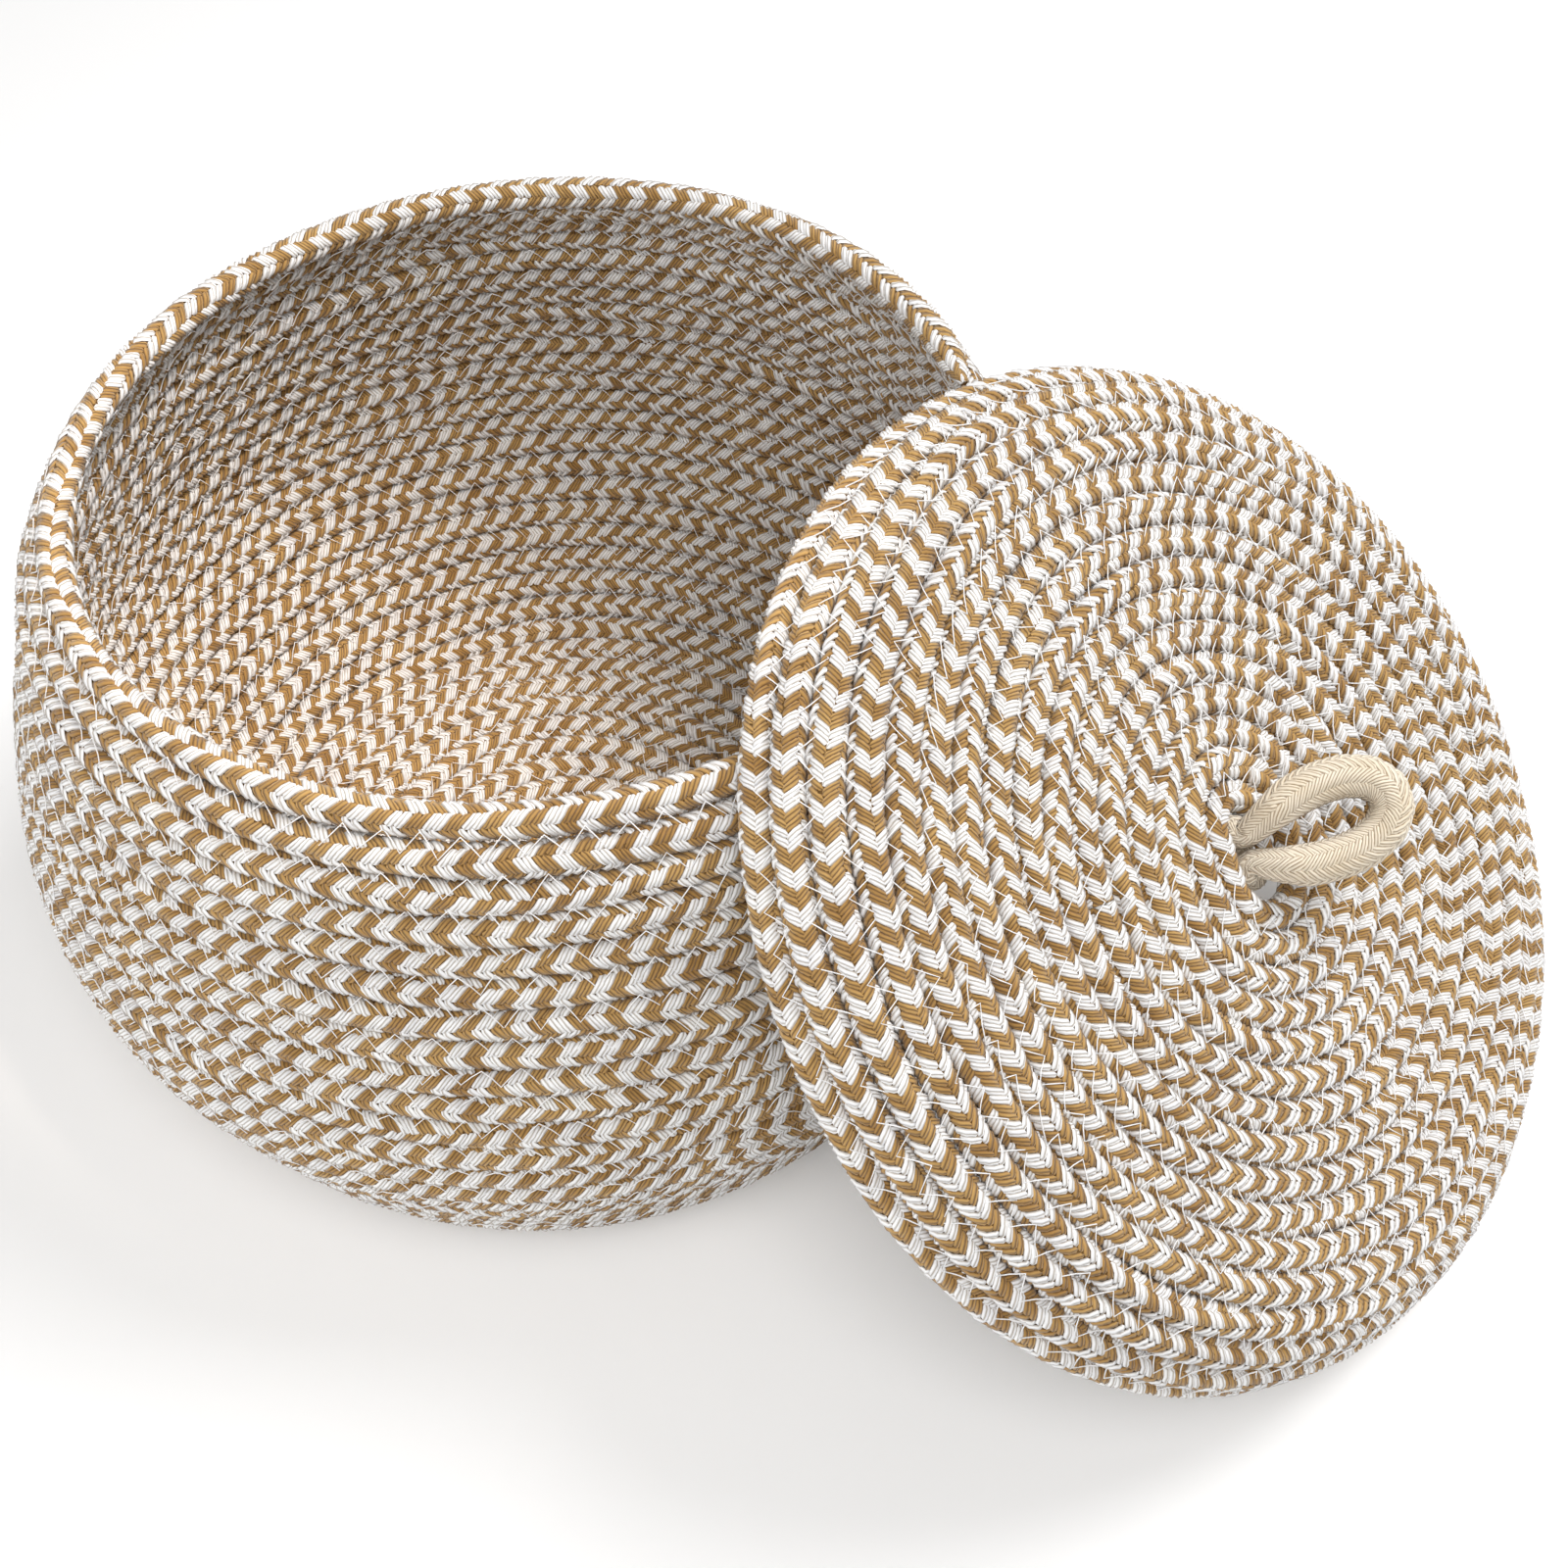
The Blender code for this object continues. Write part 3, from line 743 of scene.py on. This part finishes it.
def dressCoil(name, route, first, last, body, slot, node, seed):
    turns, points, facings = route[:3]
    runs = rope["runs"] if last - first > rope["longestRun"] else 1
    cuts = np.linspace(first, last, runs + 1)
    repeat = 2 * rope["fingers"] * rope["fingerStep"]
    for run in range(runs):
        line = part(turns, points, cuts[run], cuts[run + 1])
        before = part(turns, points, 0, max(cuts[run], rows["leastStretch"]))
        ropeStart = float(np.linalg.norm(np.diff(before, axis=0), axis=1).sum())
        nearest = np.minimum(np.linalg.norm(line - points[0], axis=1), np.linalg.norm(line - points[-1], axis=1))
        drawnIn = np.sqrt(np.clip(nearest / rope["tip"], 0, 1))
        carried = {
            "outOfShell": part(turns, facings, cuts[run], cuts[run + 1]),
            "plumpness": rope["tipSize"] + (1 - rope["tipSize"]) * drawnIn,
        }
        standing = line[:, 2].min() < rope["radius"]
        for colour, finish, start in (("white", whiteYarn, 0.0), ("tan", tanYarn, repeat / 2)):
            settings = braidSettings(rope, ropePieces[colour], repeat, finish, start, ropeStart, seed)
            grown(f"{name}_{colour}_yarn_{run + 1}", line, carried, braid, settings, body, standing)
        # the dark core gives painted shade in the gaps between fingers
        settings = coreSettings(rope, coreCottonPaintedShade)
        core = grown(f"{name}_core_{run + 1}", line, carried, tube, settings, body, standing)
        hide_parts(node)


def sewCoil(name, route, first, last, body, seed):
    # the seam runs halfway between a row and the next one out, which comes two half turns later
    turns, points, facings = route[:3]
    places = np.linspace(first, last, int((last - first) * rows["pointsPerHalfTurn"]))
    inner = readAt(places, turns, points)
    outer = readAt(places + 2, turns, points)
    out = readAt(places, turns, facings) + readAt(places + 2, turns, facings)
    out /= np.linalg.norm(out, axis=1)[:, None]
    across = outer - inner
    across /= np.linalg.norm(across, axis=1)[:, None]
    for face, sign in (("outside", 1), ("inside", -1)):
        carried = {"outOfShell": out * sign, "acrossRows": across}
        grown(f"{name}_thread_{face}", (inner + outer) / 2, carried, zigzag, {
            "Stitch Length": thread["stitchLength"],
            "Stitch Width": thread["stitchWidth"],
            "Lift": thread["lift"],
            "Bow": thread["bow"],
            "Looseness": thread["looseness"],
            "Thread Radius": thread["radius"],
            "Seed": seed,
            "Thread": whiteThread,
        }, body, True)


basketRope = basketRoute()
lidRope = lidRoute()
floorEnd = basketRope[3]
wallMiddle = floorEnd + 2 * (basket["wallRows"] - basket["upperRows"])
rimEnd = basketRope[0][-1]
crownEnd = lidRope[3]
edgeEnd = lidRope[0][-1]
coils = (                         # name, route, first and last half turn, body, slot, node and seed
    ("basket_floor", basketRope, 0, floorEnd, "basket", "basket_rope", "basket_floor_coil", 10),
    ("basket_wall_lower", basketRope, floorEnd, wallMiddle, "basket", "basket_rope", "basket_wall_lower_coil", 20),
    ("basket_wall_upper", basketRope, wallMiddle, rimEnd, "basket", "basket_rope", "basket_wall_upper_coil", 30),
    ("lid_crown", lidRope, 0, crownEnd, "lid", "lid_rope", "lid_crown_coil", 40),
    ("lid_edge", lidRope, crownEnd, edgeEnd, "lid", "lid_rope", "lid_edge_coil", 50),
)
print("rope coils")
for coil in coils:
    dressCoil(*coil)
print("sewing thread")
for name, route, first, last, body, slot, node, seed in coils:
    sewCoil(name, route, max(0, first - 2), last - 2, body, seed + 1)


# handle

cord = {
    "radius": 5.25 * mm,
    "columns": 8,
    "fingers": 2,
    "fingerStep": 1.9 * mm,
    "shifts": (0.0, 0.5, 0.0, 0.5, 0.0, 0.5, 0.0, 0.5),
    "braidDegrees": 50,
    "fullness": 1.08,
    "tuck": 0.3 * mm,
    "dive": 0.45 * mm,
    "sag": 0.04 * mm,
    "shoulder": 0.75,
    "crown": 0.05 * mm,
    "groove": 0.45 * mm,
    "turned": 0.2,
    "twist": 0.8,
    "twistLength": 40 * mm,
    "unevenness": 0.3 * mm,
    "seed": 7,
    "coreRadius": 4.8 * mm,
    "coreSides": 10,
    "coreStep": 2 * mm,
    "slotSize": 0.86,             # of the cord's size, pressed in the slot
}
knot = {
    "size": 0.72,                 # of the cord's size, pulled tight
    "height": -9.4 * mm,          # its middle, in the lid's own frame
    "reach": 8.2 * mm,
    "depth": 1.6 * mm,
    "rounds": 3,
    "lobes": 4,
    "points": 180,
    "tails": ((-35, 16.5 * mm), (8, 13.5 * mm)),     # the cut ends: bearing in the lid's own frame, and reach
    "tailStart": 3 * mm,
    "tailHeight": -8.3 * mm,
    "tailPoints": 24,
    "tipOver": 0.6 * mm,
    "tip": 2.2 * mm,
    "tipLeast": 0.1,
}
cordPiece = fingerPiece("cordPiece", cord)


def loopLine():
    # up through the slot, over the bow and down again, in the lid's own frame, with the cord's size
    lean = math.radians(handle["leanDegrees"])
    bow, top, straight = handle["bowRadius"], handle["bowHeight"], handle["straight"]
    surface, root, pinched = handle["surfaceHeight"], handle["rootSpread"], handle["pinchShare"]
    rootX = straight * math.sin(lean)
    rootZ = handle["pivotHeight"] + straight * math.cos(lean)
    outside = rootZ - surface     # height of the legs' lower stretch above the rope
    length = outside + top - straight

    def spreadAt(share):
        return root + (bow - root) * math.sin(math.pi / 2 * share) ** handle["spreadPower"]

    def sizeAt(share):
        return min(1.0, pinched + (1 - pinched) * share / handle["plumpAgainShare"])

    def leaning(height, aside):
        return height * math.sin(lean), aside, handle["pivotHeight"] + height * math.cos(lean)

    leg, sizes = [], []
    for z in np.linspace(knot["height"], rootZ, handle["legPoints"])[:-1]:
        x = rootX * max(0.0, (z - surface) / outside) ** handle["rootPower"]
        if z < surface:
            deep = (surface - z) / (surface - knot["height"])
            freed = min(1, handle["squeezeParts"] * deep)
            leg.append((x, root + (handle["legSpread"] - root) * freed, z))
            sizes.append(pinched + (cord["slotSize"] - pinched) * freed)
        else:
            share = (z - surface) / length
            leg.append((x, spreadAt(share), z))
            sizes.append(sizeAt(share))
    for height in np.linspace(straight, top, handle["legPoints"]):
        share = (outside + height - straight) / length
        leg.append(leaning(height, spreadAt(share)))
        sizes.append(sizeAt(share))
    arc = [leaning(top + bow * math.sin(a), -bow * math.cos(a))
           for a in np.linspace(0, math.pi, handle["bowPoints"])[1:-1]]
    places = np.array([(x, -y, z) for x, y, z in leg] + arc + leg[::-1])
    reach = np.clip((places[:, 2] - surface) / (top + bow) / math.cos(lean), 0, 1)
    places[:, 1] += handle["bowShift"] * reach ** handle["shiftPower"]
    return np.column_stack([places, sizes + [1.0] * len(arc) + sizes[::-1]])


def smoothLine(rough, count):
    # rounded reading of a rough line, close where its place or its size changes
    steps = np.concatenate([[0], np.cumsum(np.linalg.norm(np.diff(rough, axis=0), axis=1))])
    line = readAt(np.linspace(0, steps[-1], count), steps, rough)
    for _ in range(handle["smoothings"]):
        line[1:-1] = (line[:-2] + 2 * line[1:-1] + line[2:]) / 4
    return line


def braidCord(name, points, sizes, facing, body):
    turn = np.array(lidTurn)
    line = points @ turn.T + np.array(lidCentre)
    carried = {"outOfShell": np.tile(np.array(facing) @ turn.T, (len(line), 1)), "plumpness": sizes}
    repeat = cord["fingers"] * cord["fingerStep"]
    settings = braidSettings(cord, cordPiece, repeat, creamYarn, 0.0, 0.0, cord["seed"])
    made = grown(name, line, carried, braid, settings, body)
    inner = grown(name + "_core", line, carried, tube, coreSettings(cord, creamYarn), body)
    return made, inner


print("handle")
leanAngle = math.radians(handle["leanDegrees"])
leanSide = (math.cos(leanAngle), 0, -math.sin(leanAngle))
loopData = smoothLine(loopLine(), handle["linePoints"])
loopPieces = braidCord("handle_loop_cord", loopData[:, :3], loopData[:, 3], leanSide, None)
for piece in loopPieces:
    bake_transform(piece)
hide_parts("handle_loop")

knotTurns = np.linspace(0, 2 * math.pi, knot["points"])
knotSwell = 2 + np.cos(knot["lobes"] * knotTurns)
knotPoints = np.stack([
    knotSwell * np.cos(knot["rounds"] * knotTurns) * knot["reach"] / 3,
    knotSwell * np.sin(knot["rounds"] * knotTurns) * knot["reach"] / 3,
    knot["height"] + np.sin(2 * knot["lobes"] * knotTurns) * knot["depth"],
], 1)
knotPieces = braidCord("handle_knot_cord", knotPoints, np.full(knot["points"], knot["size"]), (0, 0, 1), "lid")
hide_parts("handle_stem_knot")
for number, (bearing, reach) in enumerate(knot["tails"], 1):
    far = np.linspace(knot["tailStart"], reach, knot["tailPoints"])
    heading = math.radians(bearing)
    level = np.full(len(far), knot["tailHeight"])
    tailPoints = np.stack([far * math.cos(heading), far * math.sin(heading), level], 1)
    rounded = np.clip((reach + knot["tipOver"] - far) / knot["tip"], knot["tipLeast"], 1)
    braidCord(f"handle_tail_cord_{number}", tailPoints, knot["size"] * np.sqrt(rounded), (0, 0, 1), "lid")

for helper in (*ropePieces.values(), cordPiece):
    bpy.data.objects.remove(helper)


# floor, light and camera

studio = {
    "floorSize": 4.0,
    "floorDrop": 0.4 * mm,
    "floorColour": 0.9,
    "floorGlow": 0.12,            # seen by the camera only
    "worldLevel": 0.34,           # that lights the part; the camera sees plain white
    "worldColour": (1.0, 0.985, 0.965, 1.0),
}
lamps = {
    "key_light": {"place": (0.75, 0.35, 1.25), "size": 0.9, "power": 14.5, "aim": (0.07, 0, 0.05)},
    "front_light": {"place": (0.06, -0.6, 1.0), "size": 0.6, "power": 5.8, "aim": (0.07, 0, 0.05)},
    "left_light": {"place": (-1.2, -0.6, 0.3), "size": 0.7, "power": 6.0, "aim": (-0.05, 0, 0.08)},
}
mouthLamp = {
    "place": (0.14, -0.12, 0.64),
    "aim": (-0.06, 0.02, 0.06),
    "coneDegrees": 21,
    "edge": 0.8,
    "power": 12.0,
    "colour": (1.0, 0.86, 0.74),
    "size": 0.04,
}
photoCamera = {
    "place": (0.06244, -0.35936, 0.5096),
    "tiltDegrees": 38.03,         # up from straight down
    "lens": 47.9,
    "sensorWidth": 36.0,
    "nearest": 0.02,
}
white = (1, 1, 1, 1)

floorData = bpy.data.meshes.new("studio_floor")
half = studio["floorSize"] / 2
floorData.from_pydata([(-half, -half, 0), (half, -half, 0), (half, half, 0), (-half, half, 0)], [], [(0, 1, 2, 3)])
floor = bpy.data.objects.new("studio_floor", floorData)
floor.location = (0, 0, -studio["floorDrop"])
scene.collection.objects.link(floor)
floorMaterial, floorNodes, floorShader = newMaterial("studio_floor_white", {
    "Base Color": (studio["floorColour"],) * 3 + (1,),
    "Roughness": 1.0,
    "Specular IOR Level": 0.0,
    "Emission Color": white,
})
floorRay = floorNodes.nodes.new("ShaderNodeLightPath").outputs["Is Camera Ray"]
floorGlow = mathNode(floorNodes, "MULTIPLY", floorRay, studio["floorGlow"])
floorNodes.links.new(floorGlow, floorShader.inputs["Emission Strength"])
floorData.materials.append(floorMaterial)

world = bpy.data.worlds.new("studio_world")
scene.world = world
world.use_nodes = True
worldNodes = world.node_tree
worldRay = worldNodes.nodes.new("ShaderNodeLightPath").outputs["Is Camera Ray"]
background = worldNodes.nodes["Background"]
feed(worldNodes, (background.inputs["Color"], background.inputs["Strength"]), (
    colourMix(worldNodes, studio["worldColour"], white, worldRay),
    rangeNode(worldNodes, worldRay, {"To Min": studio["worldLevel"], "To Max": 1.0}),
))


def placedLamp(name, kind, settings):
    data = bpy.data.lights.new(name, kind)
    data.energy = settings["power"]
    lamp = bpy.data.objects.new(name, data)
    lamp.location = settings["place"]
    lamp.rotation_euler = (Vector(settings["aim"]) - Vector(settings["place"])).to_track_quat("-Z", "Y").to_euler()
    scene.collection.objects.link(lamp)
    return data


for name, settings in lamps.items():
    softData = placedLamp(name, "AREA", settings)
    softData.shape = "DISK"
    softData.size = settings["size"]
mouthData = placedLamp("mouth_light", "SPOT", mouthLamp)
mouthData.spot_size = math.radians(mouthLamp["coneDegrees"])
mouthData.spot_blend = mouthLamp["edge"]
mouthData.shadow_soft_size = mouthLamp["size"]
mouthData.color = mouthLamp["colour"]

cameraData = bpy.data.cameras.new("photo_camera")
cameraData.lens = photoCamera["lens"]
cameraData.sensor_width = photoCamera["sensorWidth"]
cameraData.clip_start = photoCamera["nearest"]
camera = bpy.data.objects.new("photo_camera", cameraData)
camera.location = photoCamera["place"]
camera.rotation_euler = (math.radians(photoCamera["tiltDegrees"]), 0, 0)
scene.collection.objects.link(camera)
scene.camera = camera

scene.view_settings.view_transform = "Standard"

print("scene ready")
